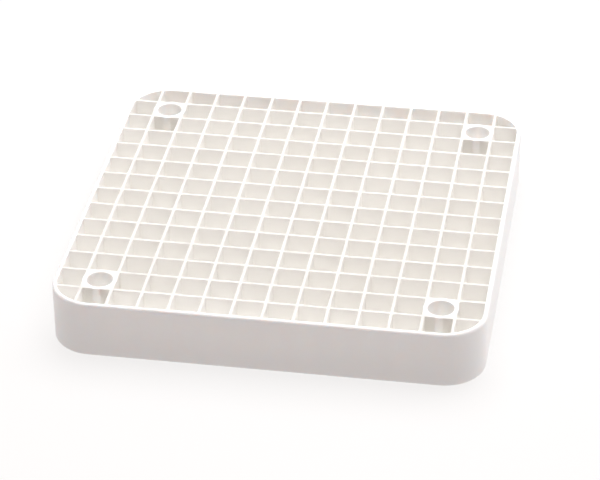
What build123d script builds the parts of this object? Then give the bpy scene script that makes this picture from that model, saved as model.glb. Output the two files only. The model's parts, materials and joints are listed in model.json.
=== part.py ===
from build123d import *
import os

# A flat, square lattice block in white plastic: an outer frame with rounded corners, thin ribs
# that cross at right angles and leave open square cells, and four tubular bosses with plain
# through holes. A boss bulges a little past the ribs around it, and the corners of its cell are
# solid, because a pocket that small and that deep couldn't be moulded.
#
# Frame of the part, in millimetres: X runs left to right, Y from the front to the back and Z up.
# The origin is the middle of the underside, so the block stands on the plane Z = 0.
#
# Every member is a solid of its own. Crosswise ribs (along X) are slotted from above and
# lengthwise ribs (along Y) are slotted from below, so they lock together at half height, flush
# at the top and at the underside. Ribs end on the inside of the frame and on the bosses.

# ---------------------------------------------------------------- driving sizes

CELL_PITCH = 16.0         # from the middle of one rib to the middle of the next
CELLS_ACROSS = 14         # cells from the left to the right
CELLS_DEEP = 14           # cells from the front to the back
BLOCK_HEIGHT = 31.0       # frame, ribs and bosses all have this height

RIB_THICKNESS = 1.6
FRAME_WALL = 2.3          # thickness of the outer frame
CORNER_RADIUS = 22.0      # outside of the frame, seen from above
TOP_EDGE_RADIUS = 1.8     # rounding along the frame's outer top edge
FOOT_EDGE_RADIUS = 0.6    # rounding along the frame's outer bottom edge

BOSS_CELL = 2             # each boss stands in this cell, counted in from both sides
HOLE_DIAMETER = 13.5      # plain hole through each boss
BOSS_WALL = 2.3           # thickness of the tube around the hole

# ---------------------------------------------------------------- sizes that follow

BLOCK_WIDTH = CELLS_ACROSS * CELL_PITCH
BLOCK_DEPTH = CELLS_DEEP * CELL_PITCH
CLEAR_CELL = CELL_PITCH - RIB_THICKNESS    # open width of a cell between its ribs
LAP_HEIGHT = BLOCK_HEIGHT / 2
BOSS_RADIUS = HOLE_DIAMETER / 2 + BOSS_WALL
BOSS_X = BLOCK_WIDTH / 2 - (BOSS_CELL - 0.5) * CELL_PITCH
BOSS_Y = BLOCK_DEPTH / 2 - (BOSS_CELL - 0.5) * CELL_PITCH
BOSS_PLACES = {
    "front_left_boss": (-BOSS_X, -BOSS_Y),
    "front_right_boss": (BOSS_X, -BOSS_Y),
    "back_left_boss": (-BOSS_X, BOSS_Y),
    "back_right_boss": (BOSS_X, BOSS_Y),
}


def rib_places(cells):
    """Middles of the ribs between this many cells, from one side to the other."""
    return [(number - cells / 2) * CELL_PITCH for number in range(1, cells)]


CROSSWISE_Y = rib_places(CELLS_DEEP)
LENGTHWISE_X = rib_places(CELLS_ACROSS)

# ---------------------------------------------------------------- shapes


def rounded_prism(inset):
    """The block's outline as a solid prism, moved inwards by inset on every side."""
    outline = RectangleRounded(
        BLOCK_WIDTH - 2 * inset,
        BLOCK_DEPTH - 2 * inset,
        CORNER_RADIUS - inset,
    )
    return extrude(outline, amount=BLOCK_HEIGHT)


def bar(length_x, length_y, height, x=0.0, y=0.0, z=0.0):
    """A straight bar, centred on x and y and standing on z."""
    return Pos(x, y, z) * Box(length_x, length_y, height, align=(Align.CENTER, Align.CENTER, Align.MIN))


def round_column(radius, x, y):
    """An upright round column of the block's height."""
    column = Cylinder(radius, BLOCK_HEIGHT, align=(Align.CENTER, Align.CENTER, Align.MIN))
    return Pos(x, y, 0) * column


def outer_frame():
    """Rounded square ring, softly rounded along its outer top and bottom edges."""
    block = rounded_prism(0)
    block = fillet(block.faces().sort_by(Axis.Z)[-1].edges(), TOP_EDGE_RADIUS)
    block = fillet(block.faces().sort_by(Axis.Z)[0].edges(), FOOT_EDGE_RADIUS)
    return block - rounded_prism(FRAME_WALL)


def corner_boss(x, y):
    """Tube around one through hole, with the corners of its cell filled in around it."""
    tube_in_cell = round_column(BOSS_RADIUS, x, y) + bar(CLEAR_CELL, CLEAR_CELL, BLOCK_HEIGHT, x, y)
    return (tube_in_cell & rounded_prism(FRAME_WALL)) - round_column(HOLE_DIAMETER / 2, x, y)


def fitted_between(strip):
    """What is left of a strip between the frame's inner faces, with the bosses taken out."""
    fitted = strip & rounded_prism(FRAME_WALL)
    for x, y in BOSS_PLACES.values():
        fitted = fitted - round_column(BOSS_RADIUS, x, y)
    return fitted


def crosswise_rib(y):
    """Rib along X, slotted from above for the ribs that cross it."""
    strip = bar(BLOCK_WIDTH, RIB_THICKNESS, BLOCK_HEIGHT, y=y)
    for x in LENGTHWISE_X:
        strip = strip - bar(RIB_THICKNESS, RIB_THICKNESS, BLOCK_HEIGHT - LAP_HEIGHT, x, y, LAP_HEIGHT)
    return fitted_between(strip)


def lengthwise_rib(x):
    """Rib along Y, slotted from below for the ribs that cross it."""
    strip = bar(RIB_THICKNESS, BLOCK_DEPTH, BLOCK_HEIGHT, x=x)
    for y in CROSSWISE_Y:
        strip = strip - bar(RIB_THICKNESS, RIB_THICKNESS, LAP_HEIGHT, x, y)
    return fitted_between(strip)


# ---------------------------------------------------------------- one file per sub-part

parts = {"outer_frame": outer_frame()}
for number, y in enumerate(CROSSWISE_Y, start=1):
    parts[f"crosswise_rib_{number:02d}"] = crosswise_rib(y)
for number, x in enumerate(LENGTHWISE_X, start=1):
    parts[f"lengthwise_rib_{number:02d}"] = lengthwise_rib(x)
for name, (x, y) in BOSS_PLACES.items():
    parts[name] = corner_boss(x, y)

os.makedirs("parts", exist_ok=True)
for name, shape in parts.items():
    export_step(Compound(children=shape.solids()), f"parts/{name}.step")

print(f"{len(parts)} sub-parts, block {BLOCK_WIDTH} x {BLOCK_DEPTH} x {BLOCK_HEIGHT} mm")
print(f"cells {CLEAR_CELL:.2f} mm clear, holes {2 * BOSS_X} x {2 * BOSS_Y} mm apart")
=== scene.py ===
# %% [markdown]
# # A square lattice block in white plastic
#
# The object is a flat, square block, moulded in white plastic: an outer frame with rounded corners,
# thin ribs that cross and leave open square cells, and four tubular bosses with plain holes. This
# lesson models each member by hand and gives it the finish of a real moulding.
#
# The CAD model is loaded first. It fixes every size and place, and each piece made here stands
# for one of its nodes.

# %% Load the fixed frame
import json
import math

import bmesh
import bpy
from mathutils import Euler, Matrix, Vector


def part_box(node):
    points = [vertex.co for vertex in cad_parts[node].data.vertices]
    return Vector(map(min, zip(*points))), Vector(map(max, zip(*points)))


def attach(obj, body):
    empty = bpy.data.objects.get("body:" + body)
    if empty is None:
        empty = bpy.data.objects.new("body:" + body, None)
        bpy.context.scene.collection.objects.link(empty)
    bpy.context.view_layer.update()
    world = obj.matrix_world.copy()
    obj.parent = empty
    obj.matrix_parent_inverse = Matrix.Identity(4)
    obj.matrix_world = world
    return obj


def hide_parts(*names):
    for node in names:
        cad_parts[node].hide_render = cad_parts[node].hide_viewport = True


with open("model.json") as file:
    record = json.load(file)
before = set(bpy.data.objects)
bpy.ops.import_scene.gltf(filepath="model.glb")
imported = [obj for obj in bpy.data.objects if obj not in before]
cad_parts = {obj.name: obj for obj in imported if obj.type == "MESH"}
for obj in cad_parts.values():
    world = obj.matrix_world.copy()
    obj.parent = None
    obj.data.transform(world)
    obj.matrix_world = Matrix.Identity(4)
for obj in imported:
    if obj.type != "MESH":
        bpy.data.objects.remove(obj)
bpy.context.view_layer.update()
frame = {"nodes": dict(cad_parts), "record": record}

print("CAD nodes:", len(frame["nodes"]))

# %% [markdown]
# ## Sizes, read from the CAD model
#
# Nothing is measured twice. The frame's box gives the block's size, the middle ribs give the pitch
# and the thickness of a rib, and a rib's length shows how thick the frame's wall is. The radius
# of the corners isn't in any box, so it is named here, in metres like everything in Blender.

# %% Read the sizes
MM = 0.001
CORNER_RADIUS = 22 * MM       # outside of the frame, seen from above

frame_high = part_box("outer_frame")[1]
half_width = frame_high.x
half_depth = frame_high.y
height = frame_high.z

rib_low, rib_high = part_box("crosswise_rib_07")
next_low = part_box("crosswise_rib_08")[0]
rib_thickness = rib_high.y - rib_low.y
pitch = next_low.y - rib_low.y
frame_wall = half_width - rib_high.x

crosswise_ribs = sorted(name for name in frame["nodes"] if name.startswith("crosswise_rib"))
lengthwise_ribs = sorted(name for name in frame["nodes"] if name.startswith("lengthwise_rib"))
bosses = sorted(name for name in frame["nodes"] if name.endswith("_boss"))
rib_places = [sum(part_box(name), Vector()).y / 2 for name in crosswise_ribs]

print(f"block {2 * half_width:.4f} x {2 * half_depth:.4f} x {height:.4f} m, pitch {pitch:.4f}")
print(f"ribs {rib_thickness:.4f} thick, frame wall {frame_wall:.4f}")

# %% [markdown]
# ## Camera
#
# The block is seen from the front, a little from its right, and from well above, so that the
# rows of cells show and the front wall is a narrow band. A long lens from over a metre away
# keeps the sides nearly parallel. The camera comes first, so that every later render can be
# compared. Its place is worked out from two angles, a distance and the point that it aims at.

# %% Place the camera
VIEW_AZIMUTH = math.radians(9.63)
VIEW_ELEVATION = math.radians(32.83)
VIEW_ROLL = math.radians(-0.61)
VIEW_DISTANCE = 1.353
VIEW_AIM = Vector((0.0076, -0.0362, height))
LENS = 154.8                  # millimetres, and so is the sensor's width
SENSOR_WIDTH = 36

camera_data = bpy.data.cameras.new("camera")
camera_data.lens = LENS
camera_data.sensor_width = SENSOR_WIDTH
camera = bpy.data.objects.new("camera", camera_data)
bpy.context.scene.collection.objects.link(camera)

turn = Euler((math.pi / 2 - VIEW_ELEVATION, 0, VIEW_AZIMUTH)).to_matrix()
turn = turn @ Matrix.Rotation(VIEW_ROLL, 3, "Z")
camera_place = VIEW_AIM + turn @ Vector((0, 0, VIEW_DISTANCE))
camera.matrix_world = Matrix.Translation(camera_place) @ turn.to_4x4()
bpy.context.scene.camera = camera
print("camera at", [round(value, 3) for value in camera_place])

# %% [markdown]
# ## Working by hand from a script
#
# Modelling operators act on whatever is selected, so each step starts with nothing selected. Two
# of the helpers do the work of a hand on the mouse: one adds a box between two corners, and the
# other picks faces or edges by a test of where they are. The last three are for such tests.

# %% Helpers for selecting and adding
HAIR = 0.01 * MM              # two places closer than this are the same
ALONG = 0.9                   # a unit vector runs along an axis if more of it than this does


def start_clean():
    """Leaves edit mode and deselects everything."""
    if bpy.context.object and bpy.context.object.mode == "EDIT":
        bpy.ops.object.mode_set(mode="OBJECT")
    bpy.ops.object.select_all(action="DESELECT")


def work_on(piece):
    """Makes this piece the only selected one."""
    start_clean()
    piece.select_set(True)
    bpy.context.view_layer.objects.active = piece


def place_in_mesh(piece):
    """Moves a piece's place, turn and size into its mesh, and its origin to the world's."""
    work_on(piece)
    bpy.ops.object.transform_apply(location=True, rotation=True, scale=True)


def add_block(name, low, high):
    """A box between two corners."""
    start_clean()
    bpy.ops.mesh.primitive_cube_add(size=1, location=(low + high) / 2, scale=high - low)
    block = bpy.context.object
    block.name = name
    place_in_mesh(block)
    return block


def pick(piece, kind, wanted):
    """Opens a piece in edit mode with only the wanted "FACE"s or "EDGE"s selected."""
    work_on(piece)
    bpy.ops.object.mode_set(mode="EDIT")
    bpy.ops.mesh.select_mode(type=kind)
    bpy.ops.mesh.select_all(action="DESELECT")
    mesh = bmesh.from_edit_mesh(piece.data)
    elements = mesh.faces if kind == "FACE" else mesh.edges
    picked = [element for element in elements if wanted(element)]
    for element in picked:
        element.select_set(True)
    mesh.select_flush_mode()
    bmesh.update_edit_mesh(piece.data)
    return len(picked)


def middle(edge):
    """The point half way along an edge."""
    return (edge.verts[0].co + edge.verts[1].co) / 2


def direction(edge):
    """The way that an edge runs, as a unit vector."""
    return (edge.verts[1].co - edge.verts[0].co).normalized()


def at_height(edge, level):
    """True for an edge that lies flat at this height."""
    return all(abs(corner.co.z - level) < HAIR for corner in edge.verts)


# %% [markdown]
# ## Outer frame
#
# The frame is the smooth wall around the lattice. It could be a square bent from one strip, but
# nesting two rounded boxes and bridging their rims gives an even wall in the corners as well.
# Each box is a cube whose four upright edges are bevelled into quarter rounds.

# %% Two nested rounded boxes
CORNER_STEPS = 18             # flats in each quarter round


def rounded_box(name, inset, low_z, high_z):
    """A box with the block's rounded outline, moved inwards by inset."""
    low = Vector((inset - half_width, inset - half_depth, low_z))
    high = Vector((half_width - inset, half_depth - inset, high_z))
    box = add_block(name, low, high)
    pick(box, "EDGE", lambda edge: abs(direction(edge).z) > ALONG)
    bpy.ops.mesh.bevel(offset=CORNER_RADIUS - inset, segments=CORNER_STEPS, profile=0.5)
    bpy.ops.object.mode_set(mode="OBJECT")
    return box


outer_skin = rounded_box("outer_frame_moulded", 0, 0, height)
inner_skin = rounded_box("inner_skin", frame_wall, 0, height)

for skin in (outer_skin, inner_skin):
    pick(skin, "FACE", lambda face: abs(face.normal.z) > ALONG)
    bpy.ops.mesh.delete(type="ONLY_FACE")
bpy.ops.mesh.select_all(action="SELECT")
bpy.ops.mesh.flip_normals()   # the inner skin faces the cells

work_on(outer_skin)
inner_skin.select_set(True)
bpy.ops.object.join()
frame_piece = outer_skin
print("faces in the two skins:", len(frame_piece.data.polygons))

# %% [markdown]
# The two skins are joined into one piece, but nothing connects them yet. Bridging the two loops of
# edges at the foot, and then the two at the top, makes the wall solid.

# %% Bridge the rims
for level in (0, height):
    pick(frame_piece, "EDGE", lambda edge: at_height(edge, level))
    bpy.ops.mesh.bridge_edge_loops()
bpy.ops.mesh.select_all(action="SELECT")
bpy.ops.mesh.normals_make_consistent(inside=False)
bpy.ops.object.mode_set(mode="OBJECT")
print("faces in the frame:", len(frame_piece.data.polygons))

# %% [markdown]
# A moulding has no sharp outer edges, because the mould is cut with round tools and a sharp edge
# would chip. The top rim is rounded most, and it catches a bright line of light there. The foot is
# rounded less. An edge belongs to the outside when it lies on the block's outline, so a small
# function works out how far inside the outline a point is.

# %% Round the outer edges
TOP_ROUND = 1.8 * MM
TOP_STEPS = 8                 # flats across the rounding
FOOT_ROUND = 0.6 * MM
FOOT_STEPS = 4


def depth_inside(point):
    """How far a point lies inside the block's rounded outline, seen from above."""
    past_x = abs(point.x) - (half_width - CORNER_RADIUS)
    past_y = abs(point.y) - (half_depth - CORNER_RADIUS)
    if past_x > 0 and past_y > 0:
        return CORNER_RADIUS - math.hypot(past_x, past_y)
    return CORNER_RADIUS - max(past_x, past_y)


def outer_rim(edge, level):
    """True for an edge of the frame's outside rim at this height."""
    return at_height(edge, level) and all(depth_inside(v.co) < HAIR for v in edge.verts)


pick(frame_piece, "EDGE", lambda edge: outer_rim(edge, height))
bpy.ops.mesh.bevel(offset=TOP_ROUND, segments=TOP_STEPS, profile=0.5)
pick(frame_piece, "EDGE", lambda edge: outer_rim(edge, 0))
bpy.ops.mesh.bevel(offset=FOOT_ROUND, segments=FOOT_STEPS, profile=0.5)
bpy.ops.object.mode_set(mode="OBJECT")
print("faces with rounded edges:", len(frame_piece.data.polygons))

# %% [markdown]
# The inner edges are only just broken, by a quarter of a millimetre, and only between the ribs:
# where a rib meets the frame, both are flush and the edge stays square, so that no groove shows.
# Bisecting the frame on both sides of every rib gives each stretch between two ribs edges of its
# own, and those are bevelled.

# %% Break the inner edges between the ribs
EDGE_BREAK = 0.25 * MM
BREAK_STEPS = 2
BREAK_GAP = 0.3 * MM          # the broken edge stops this far from a crossing
FLAT_SLACK = 5 * HAIR         # the flats of a round corner stray from the true round by less

clear_of_rib = rib_thickness / 2 + BREAK_GAP


def beside_rib(place):
    """True for a coordinate that falls within a rib or its gap."""
    return any(abs(place - rib) < clear_of_rib - HAIR for rib in rib_places)


def inner_rim_between_ribs(edge):
    """True for an edge of the inside rim that no rib touches."""
    if not (at_height(edge, 0) or at_height(edge, height)):
        return False
    if any(abs(depth_inside(v.co) - frame_wall) > FLAT_SLACK for v in edge.verts):
        return False
    centre = middle(edge)
    along = centre.x if abs(centre.y) > abs(centre.x) else centre.y
    return not beside_rib(along)


work_on(frame_piece)
bpy.ops.object.mode_set(mode="EDIT")
for rib in rib_places:
    for side in (-clear_of_rib, clear_of_rib):
        for axis in (Vector((1, 0, 0)), Vector((0, 1, 0))):
            bpy.ops.mesh.select_all(action="SELECT")
            bpy.ops.mesh.bisect(plane_co=axis * (rib + side), plane_no=axis)
broken = pick(frame_piece, "EDGE", inner_rim_between_ribs)
bpy.ops.mesh.bevel(offset=EDGE_BREAK, segments=BREAK_STEPS, profile=0.5)
bpy.ops.object.mode_set(mode="OBJECT")
print("inner edges broken:", broken)

# %% [markdown]
# ## Ribs
#
# All ribs are the same strip, slotted at every crossing like the dividers of a box: half its
# height is cut away, and the rib that crosses it fills the slot. One bay, from the middle of a
# cell to the middle of the next, is modelled by hand and repeated by an Array modifier.
#
# Pieces that meet stand a fiftieth of a millimetre apart, too little to see. Two faces on exactly
# the same plane would catch light between them, and the cells beside them would look darker than
# the rest.

# %% One bay of a rib
FIT = 0.02 * MM               # pieces that meet stand this far apart

bay_low = Vector((rib_places[0] - pitch / 2, -rib_thickness / 2, 0))
bay_high = Vector((rib_places[0] + pitch / 2, rib_thickness / 2, height))
strip = add_block("rib_strip", bay_low, bay_high)

pick(strip, "FACE", lambda face: abs(face.normal.x) > ALONG)
bpy.ops.mesh.delete(type="ONLY_FACE")

slot_side = rib_thickness / 2 + FIT
slot_floor = height / 2 - FIT
for offset in (-slot_side, slot_side, -clear_of_rib, clear_of_rib):
    bpy.ops.mesh.select_all(action="SELECT")
    bpy.ops.mesh.bisect(plane_co=(rib_places[0] + offset, 0, 0), plane_no=(1, 0, 0))
bpy.ops.mesh.select_all(action="SELECT")
bpy.ops.mesh.bisect(plane_co=(0, 0, slot_floor), plane_no=(0, 0, 1))
print("edges in the bay:", len(strip.data.edges))

# %% [markdown]
# The faces inside the slot are deleted. That leaves a hole that is open at the top and at both
# sides, and bridging its two outlines gives it side walls and a floor. The long edges are then
# broken as the frame's were, but only clear of the crossing.


# %% Cut the slot and close it
def in_slot(point):
    """True for a point in or on the slot, which is open at the top."""
    beside = abs(point.x - rib_places[0]) < slot_side + HAIR
    return beside and point.z > slot_floor - HAIR


pick(strip, "FACE", lambda face: in_slot(face.calc_center_median()))
bpy.ops.mesh.delete(type="FACE")
pick(
    strip,
    "EDGE",
    lambda edge: edge.is_boundary
    and all(in_slot(v.co) for v in edge.verts)
    and abs(direction(edge).y) < ALONG,
)
bpy.ops.mesh.bridge_edge_loops()


def long_edge_between_slots(edge):
    """True for a long edge at the top or the bottom, clear of the crossing."""
    if not (at_height(edge, 0) or at_height(edge, height)):
        return False
    clear = abs(middle(edge).x - rib_places[0]) > clear_of_rib - HAIR
    return clear and abs(direction(edge).x) > ALONG


pick(strip, "EDGE", long_edge_between_slots)
bpy.ops.mesh.bevel(offset=EDGE_BREAK, segments=BREAK_STEPS, profile=0.5)
bpy.ops.object.mode_set(mode="OBJECT")
print("faces in the bay:", len(strip.data.polygons))

# %% [markdown]
# The Array modifier repeats the bay and merges the bays into one strip. The first and the last
# cell end at the frame's wall, so both ends are pulled out to it and closed.


# %% Repeat the bay and reach the frame
def apply_modifier(piece, kind, **settings):
    """Adds a modifier to a piece with these settings, and applies it."""
    work_on(piece)
    bpy.ops.object.modifier_add(type=kind)
    modifier = piece.modifiers[-1]
    for setting, value in settings.items():
        setattr(modifier, setting, value)
    bpy.ops.object.modifier_apply(modifier=modifier.name)


apply_modifier(
    strip,
    "ARRAY",
    count=len(rib_places),
    use_relative_offset=False,
    use_constant_offset=True,
    constant_offset_displace=(pitch, 0, 0),
    use_merge_vertices=True,
    merge_threshold=HAIR,
)

last_bay_end = rib_places[-1] + pitch / 2
reach = half_width - frame_wall - FIT - last_bay_end
for side in (-1, 1):
    pick(strip, "EDGE", lambda edge: edge.is_boundary and middle(edge).x * side > 0)
    bpy.ops.mesh.extrude_region_move(TRANSFORM_OT_translate={"value": (side * reach, 0, 0)})
    bpy.ops.mesh.edge_face_add()
bpy.ops.mesh.select_all(action="SELECT")
bpy.ops.mesh.normals_make_consistent(inside=False)
bpy.ops.object.mode_set(mode="OBJECT")
print("faces in the strip:", len(strip.data.polygons))

# %% [markdown]
# ## Bosses
#
# A boss is a tube around a plain hole, as high as the ribs. The tube bulges a little past the ribs
# around it, and the corners of its cell are solid, because a pocket that small couldn't be
# moulded. It starts as a cylinder, and a Boolean joins a block of the cell's size to it. A second
# cylinder cuts the hole, and the hole's rims are rounded, so that a pin or a screw finds its way
# in.

# %% Model one boss
BOSS_STEPS = 64               # flats around a boss, and around its hole
HOLE_ROUND = 0.4 * MM
HOLE_STEPS = 3
OVERSHOOT = 1 * MM            # cutters reach past the faces that they cut

boss_low, boss_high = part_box(bosses[0])
boss_radius = (boss_high.x - boss_low.x) / 2
fill_side = (pitch - rib_thickness) / 2 - FIT    # from the boss's middle to a side of the fill
hole = next(mount for mount in frame["record"]["mounts"] if mount["name"] == "front_left_hole")
hole_radius = hole["dims"]["r_mm"] * MM


def add_column(name, radius, place, overshoot):
    """An upright cylinder of the block's height, longer by overshoot at each end."""
    start_clean()
    bpy.ops.mesh.primitive_cylinder_add(
        vertices=BOSS_STEPS,
        radius=radius,
        depth=height + 2 * overshoot,
        location=place + Vector((0, 0, height / 2)),
    )
    column = bpy.context.object
    column.name = name
    place_in_mesh(column)
    return column


def remove(piece):
    """Deletes a helper that isn't part of the object."""
    work_on(piece)
    bpy.ops.object.delete()


boss = add_column("boss_tube", boss_radius, Vector(), 0)
cell_low = Vector((-fill_side, -fill_side, 0))
cell_high = Vector((fill_side, fill_side, height))
cell_fill = add_block("cell_fill", cell_low, cell_high)
hole_cutter = add_column("hole_cutter", hole_radius, Vector(), OVERSHOOT)
apply_modifier(boss, "BOOLEAN", operation="UNION", object=cell_fill, solver="EXACT")
apply_modifier(boss, "BOOLEAN", operation="DIFFERENCE", object=hole_cutter, solver="EXACT")
remove(cell_fill)
remove(hole_cutter)


def hole_rim(edge):
    """True for an edge around the hole at either end."""
    around_hole = all(
        abs(math.hypot(corner.co.x, corner.co.y) - hole_radius) < HAIR for corner in edge.verts
    )
    return around_hole and (at_height(edge, 0) or at_height(edge, height))


rims = pick(boss, "EDGE", hole_rim)
bpy.ops.mesh.bevel(offset=HOLE_ROUND, segments=HOLE_STEPS, profile=0.5)
bpy.ops.object.mode_set(mode="OBJECT")
print("rim edges rounded:", rims, " boss radius", round(boss_radius, 5))

# %% [markdown]
# ## Copies in their places
#
# Every copy gets its own mesh, moved to where the CAD node lies. The ribs next to a boss are cut
# by it, and the outermost ribs end on the frame's round corners, so those are trimmed with the
# Boolean modifier.


# %% Copy and trim helpers
def copy_of(model, name, shift):
    """A copy of a piece with its own mesh, moved by shift."""
    work_on(model)
    bpy.ops.object.duplicate(linked=False)
    copy = bpy.context.object
    copy.name = name
    copy.location = shift
    place_in_mesh(copy)
    return copy


def boss_place(name):
    """The middle of a boss, seen from above."""
    low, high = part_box(name)
    return Vector(((low.x + high.x) / 2, (low.y + high.y) / 2, 0))


# %% [markdown]
# There is a cutter for each boss, and one block that fills the space inside the frame. They have
# as many flats as the pieces that they stand for, so the trimmed faces run along those at the same
# small distance everywhere.

# %% Cutters for the trimmed ribs
boss_cutters = [
    add_column(f"cutter_{name}", boss_radius + FIT, boss_place(name), OVERSHOOT)
    for name in bosses
]

inner_space = rounded_box("inner_space", frame_wall + FIT, -OVERSHOOT, height + OVERSHOOT)
print("cutters:", len(boss_cutters) + 1)

# %% [markdown]
# A crosswise rib is the strip, moved to its place. Ribs far enough out meet the round corners, and
# ribs close enough to the middle of a boss meet that boss.

# %% Place the crosswise ribs
boss_reach = abs(boss_place(bosses[0]).y)


def trim(rib, place):
    """Ends a rib on the round corners and on the bosses, where it reaches them."""
    if abs(place) > half_depth - CORNER_RADIUS:
        apply_modifier(rib, "BOOLEAN", operation="INTERSECT", object=inner_space, solver="EXACT")
    if abs(abs(place) - boss_reach) < boss_radius:
        for cutter in boss_cutters:
            front, back = cutter.bound_box[0][1], cutter.bound_box[6][1]
            if front < place < back:
                cut = {"operation": "DIFFERENCE", "object": cutter, "solver": "EXACT"}
                apply_modifier(rib, "BOOLEAN", **cut)


made = {"outer_frame": frame_piece}
for name, place in zip(crosswise_ribs, rib_places):
    rib = copy_of(strip, f"{name}_moulded", (0, place, 0))
    trim(rib, place)
    made[name] = rib
print("crosswise ribs:", len(crosswise_ribs))

# %% [markdown]
# The block is square, so a lengthwise rib is a crosswise rib turned a quarter turn and laid upside
# down. That puts its slots underneath, where the crosswise ribs fill them.

# %% Place the lengthwise ribs and the bosses
for cross_name, name in zip(crosswise_ribs, lengthwise_ribs):
    rib = copy_of(made[cross_name], f"{name}_moulded", (0, 0, 0))
    rib.rotation_euler = (math.pi, 0, math.pi / 2)
    rib.location = (0, 0, height)
    place_in_mesh(rib)
    made[name] = rib

for name in bosses:
    made[name] = copy_of(boss, f"{name}_moulded", boss_place(name))

for helper in (strip, boss, inner_space, *boss_cutters):
    remove(helper)
print("pieces:", len(made))

# %% [markdown]
# ## Shading
#
# Round edges should look round and flat walls flat. Smooth shading up to an angle does the first,
# and the Weighted Normal modifier does the second: it lets the large faces decide the normals, so
# that no false gradient runs across a wall. Then each piece takes the place of its CAD node.

# %% Smooth the pieces and stand them in for the nodes
SMOOTH_ANGLE = math.radians(40)

for node, piece in made.items():
    work_on(piece)
    bpy.ops.object.shade_smooth_by_angle(angle=SMOOTH_ANGLE)
    apply_modifier(piece, "WEIGHTED_NORMAL", keep_sharp=True)
    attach(piece, "root")
    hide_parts(node)
faces = [face for piece in made.values() for face in piece.data.polygons]
print("triangles:", sum(len(face.vertices) - 2 for face in faces))

# %% [markdown]
# ## White plastic
#
# The block is a cheap, tough plastic such as polypropylene or nylon, left its natural warm white.
# Straight from the mould it has a satin skin: not a mirror, but smooth enough for a soft shine.
# One flat colour would look like paper, so four things are layered on it, each with noise on
# Object coordinates: broad, faint clouds in the colour, a fine grain copied from the mould, faint
# upright drag marks from where the block was pushed out of it, and a duller, scuffed band along
# the rims and the foot, which are what rubs on things.

# %% Helpers for the material's nodes
class Material:
    """A new material and short ways to add nodes to it, all on Object coordinates."""

    def __init__(self, name):
        self.material = bpy.data.materials.new(name)
        self.material.use_nodes = True
        self.nodes = self.material.node_tree.nodes
        self.links = self.material.node_tree.links
        self.shader = self.nodes["Principled BSDF"]
        self.output = self.nodes["Material Output"]
        self.place = self.nodes.new("ShaderNodeTexCoord").outputs["Object"]

    def noise(self, scale, detail, stretch=(1, 1, 1)):
        """Noise with so many features to a metre, from 0 to 1, stretched along the axes."""
        mapping = self.nodes.new("ShaderNodeMapping")
        mapping.inputs["Scale"].default_value = stretch
        self.links.new(self.place, mapping.inputs["Vector"])
        noise = self.nodes.new("ShaderNodeTexNoise")
        noise.inputs["Scale"].default_value = scale
        noise.inputs["Detail"].default_value = detail
        self.links.new(mapping.outputs["Vector"], noise.inputs["Vector"])
        return noise.outputs["Fac"]

    def spread(self, value, from_low, from_high, to_low, to_high):
        """Maps a range of values to another, without going past its ends."""
        node = self.nodes.new("ShaderNodeMapRange")
        ends = {"From Min": from_low, "From Max": from_high, "To Min": to_low, "To Max": to_high}
        for socket, end in ends.items():
            node.inputs[socket].default_value = end
        self.links.new(value, node.inputs["Value"])
        return node.outputs["Result"]

    def math(self, operation, first, second):
        """A Math node of two values, either of which may be a plain number."""
        node = self.nodes.new("ShaderNodeMath")
        node.operation = operation
        for socket, value in zip(node.inputs, (first, second)):
            if isinstance(value, (int, float)):
                socket.default_value = value
            else:
                self.links.new(value, socket)
        return node.outputs["Value"]


# %% [markdown]
# The layers are built one after the other: clouds in the colour, then the roughness with its
# scuffed band, and last the grain and the drag marks as one bump. Noise keeps mostly to the middle
# of its range, so each layer names the part of that range that it spreads from none to full.

# %% Colour, scuffs and grain
WHITE = (0.965, 0.96, 0.948, 1)
WARM_WHITE = (0.955, 0.948, 0.932, 1)
PLASTIC_IOR = 1.5
SATIN = (0.38, 0.48)          # roughness where the skin is smoothest and where it is dullest
SCUFF_BAND = 2.0 * MM         # rims and foot are scuffed this far from the edge
SCUFF_ROUGHNESS = 0.12        # a scuff adds up to this much

CLOUD_RANGE = (0.35, 0.65)
SATIN_RANGE = (0.3, 0.7)
SCUFF_RANGE = (0.4, 0.7)

CLOUDS_PER_METRE = 22
SATIN_PER_METRE = 90
SCUFFS_PER_METRE = 260
DRAG_MARKS_PER_METRE = 700
GRAINS_PER_METRE = 1600
UPRIGHT = (1, 1, 0.03)        # stretches noise into upright marks

GRAIN_DEPTH = 0.01 * MM
GRAIN_SHARE = 0.6             # of the bump's height; the drag marks make up the rest
BUMP_STRENGTH = 0.35


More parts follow.
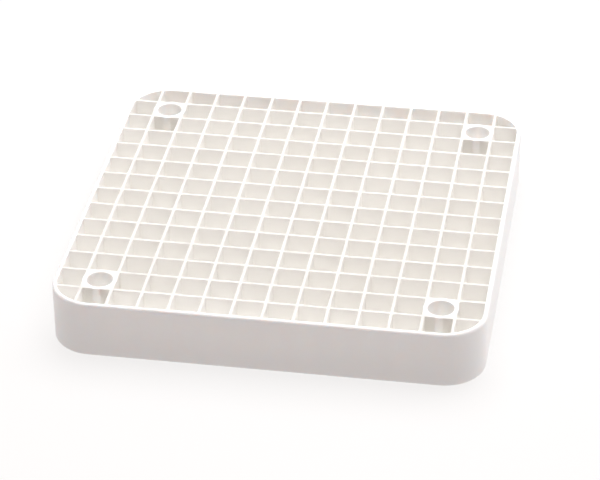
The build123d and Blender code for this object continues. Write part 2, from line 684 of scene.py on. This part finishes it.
def white_plastic(name):
    """Satin white plastic, as it comes out of a mould."""
    new = Material(name)
    shader = new.shader
    shader.inputs["IOR"].default_value = PLASTIC_IOR

    clouds = new.spread(new.noise(CLOUDS_PER_METRE, detail=3), *CLOUD_RANGE, 0, 1)
    colour = new.nodes.new("ShaderNodeMix")
    colour.data_type = "RGBA"
    colour.inputs["A"].default_value = WHITE
    colour.inputs["B"].default_value = WARM_WHITE
    new.links.new(clouds, colour.inputs["Factor"])
    new.links.new(colour.outputs["Result"], shader.inputs["Base Color"])

    split = new.nodes.new("ShaderNodeSeparateXYZ")
    new.links.new(new.place, split.inputs["Vector"])
    near_rim = new.spread(split.outputs["Z"], height - SCUFF_BAND, height, 0, 1)
    near_foot = new.spread(split.outputs["Z"], 0, SCUFF_BAND, 1, 0)
    near_edge = new.math("MAXIMUM", near_rim, near_foot)
    rubbed = new.noise(SCUFFS_PER_METRE, detail=4)
    rubbed = new.spread(rubbed, *SCUFF_RANGE, 0, SCUFF_ROUGHNESS)
    scuffs = new.math("MULTIPLY", near_edge, rubbed)
    satin = new.spread(new.noise(SATIN_PER_METRE, detail=3), *SATIN_RANGE, *SATIN)
    new.links.new(new.math("ADD", satin, scuffs), shader.inputs["Roughness"])

    grain = new.math("MULTIPLY", new.noise(GRAINS_PER_METRE, detail=2), GRAIN_SHARE)
    drags = new.noise(DRAG_MARKS_PER_METRE, detail=2, stretch=UPRIGHT)
    drag_marks = new.math("MULTIPLY", drags, 1 - GRAIN_SHARE)
    bump = new.nodes.new("ShaderNodeBump")
    bump.inputs["Strength"].default_value = BUMP_STRENGTH
    bump.inputs["Distance"].default_value = GRAIN_DEPTH
    new.links.new(new.math("ADD", grain, drag_marks), bump.inputs["Height"])
    new.links.new(bump.outputs["Normal"], shader.inputs["Normal"])
    return new


# %% [markdown]
# White plastic isn't quite opaque. In the outer wall and the bosses, light that enters at a bright
# rim spreads a millimetre or two before it comes out, so the rim seems to glow into the wall below.
# Subsurface scattering gives that. The ribs are thinner, so light from one cell passes right
# through to the next. There the plastic is mixed with a Translucent shader, which hands it on.

# %% Thick and thin plastic
GLOW_REACH = 1.8 * MM         # how far light spreads in the plastic before it comes out
GLOW_BY_COLOUR = (1.0, 0.9, 0.85)    # red spreads furthest
LIGHT_THROUGH_RIBS = 0.5
PASSED_ON = (1, 0.998, 0.99, 1)    # colour of the light that comes out on the far side

thick = white_plastic("white_plastic_wall")
thick.shader.inputs["Subsurface Weight"].default_value = 1.0
thick.shader.inputs["Subsurface Radius"].default_value = GLOW_BY_COLOUR
thick.shader.inputs["Subsurface Scale"].default_value = GLOW_REACH


def thin_plastic(name, light_through):
    """White plastic that lets some light through."""
    new = white_plastic(name)
    through = new.nodes.new("ShaderNodeBsdfTranslucent")
    through.inputs["Color"].default_value = PASSED_ON
    mix = new.nodes.new("ShaderNodeMixShader")
    mix.inputs["Fac"].default_value = light_through
    new.links.new(new.shader.outputs["BSDF"], mix.inputs[1])
    new.links.new(through.outputs["BSDF"], mix.inputs[2])
    new.links.new(mix.outputs["Shader"], new.output.inputs["Surface"])
    return new


rib_plastic = thin_plastic("white_plastic_rib", LIGHT_THROUGH_RIBS)

for node, piece in made.items():
    if node == "outer_frame" or node in bosses:
        finish = thick
    else:
        finish = rib_plastic
    piece.data.materials.clear()
    piece.data.materials.append(finish.material)
print("nodes in the rib's material:", len(rib_plastic.nodes))

# %% [markdown]
# ## Floor and light
#
# The block lies on a plain white floor in a bright studio. The floor glows like a light table, so
# the block throws hardly any shadow on it. Large soft panels stand above, behind and on both
# sides, so that the rib tops and the side walls are brightest. The side from which the block is
# seen is the darkest part of the room, so the front wall is lit mainly by the floor and falls to a
# soft grey.

# %% Floor
FLOOR_SIZE = 8.0
FLOOR_GAP = 0.1 * MM          # the floor lies just below the block's underside
FLOOR_COLOUR = (0.155, 0.155, 0.155, 1)
FLOOR_ROUGHNESS = 0.9
FLOOR_SHINE = 0.2
FLOOR_GLOW = 0.79
FLOOR_GLOW_COLOUR = (1, 0.988, 0.98, 1)

start_clean()
bpy.ops.mesh.primitive_plane_add(size=FLOOR_SIZE, location=(0, 0, -FLOOR_GAP))
floor = bpy.context.object
floor.name = "floor"
floor_paint = bpy.data.materials.new("floor_white")
floor_paint.use_nodes = True
floor_shader = floor_paint.node_tree.nodes["Principled BSDF"]
floor_shader.inputs["Base Color"].default_value = FLOOR_COLOUR
floor_shader.inputs["Roughness"].default_value = FLOOR_ROUGHNESS
floor_shader.inputs["Specular IOR Level"].default_value = FLOOR_SHINE
floor_shader.inputs["Emission Color"].default_value = FLOOR_GLOW_COLOUR
floor_shader.inputs["Emission Strength"].default_value = FLOOR_GLOW
floor.data.materials.append(floor_paint)
print("floor's sides:", FLOOR_SIZE, "m")

# %% [markdown]
# The room is dim and warm where it lights the block. Where the camera looks past the floor, it
# sees plain white instead.

# %% Room
ROOM_LIGHT = 0.065
ROOM_COLOUR = (1, 0.3, 0.25, 1)
WALL_COLOUR = (1, 1, 1, 1)

room = bpy.data.worlds.new("room")
bpy.context.scene.world = room
room.use_nodes = True
room_nodes = room.node_tree.nodes
room_links = room.node_tree.links
dim_room = room_nodes["Background"]
dim_room.inputs["Color"].default_value = ROOM_COLOUR
dim_room.inputs["Strength"].default_value = ROOM_LIGHT
white_wall = room_nodes.new("ShaderNodeBackground")
white_wall.inputs["Color"].default_value = WALL_COLOUR
seen = room_nodes.new("ShaderNodeLightPath").outputs["Is Camera Ray"]
room_mix = room_nodes.new("ShaderNodeMixShader")
room_links.new(seen, room_mix.inputs["Fac"])
room_links.new(dim_room.outputs["Background"], room_mix.inputs[1])
room_links.new(white_wall.outputs["Background"], room_mix.inputs[2])
room_links.new(room_mix.outputs["Shader"], room_nodes["World Output"].inputs["Surface"])
print("nodes in the room:", len(room_nodes))

# %% [markdown]
# Each panel faces the block, and the camera doesn't see it. Light has to find its way out of deep,
# white cells and through many ribs, so it is allowed more bounces than usual.


# %% Soft panels
def soft_panel(name, place, width, depth, watts):
    """A large soft light that faces the block."""
    light = bpy.data.lights.new(name, "AREA")
    light.shape = "RECTANGLE"
    light.size = width
    light.size_y = depth
    light.energy = watts
    panel = bpy.data.objects.new(name, light)
    panel.location = place
    panel.rotation_euler = (-Vector(place)).to_track_quat("-Z", "Y").to_euler()
    panel.visible_camera = False
    bpy.context.scene.collection.objects.link(panel)


soft_panel("panel_above", place=(0.1, 0.4, 1.3), width=1.6, depth=1.6, watts=34)
soft_panel("panel_right", place=(1.3, 0.65, 0.6), width=1.0, depth=1.0, watts=4.5)
soft_panel("panel_left", place=(-1.3, 0.7, 0.4), width=1.0, depth=0.8, watts=3)
soft_panel("panel_behind", place=(0.0, 1.1, 1.0), width=1.6, depth=1.2, watts=4)

cycles = bpy.context.scene.cycles
cycles.max_bounces = 32
cycles.diffuse_bounces = 20
cycles.transmission_bounces = 16
bpy.context.scene.view_settings.view_transform = "Standard"
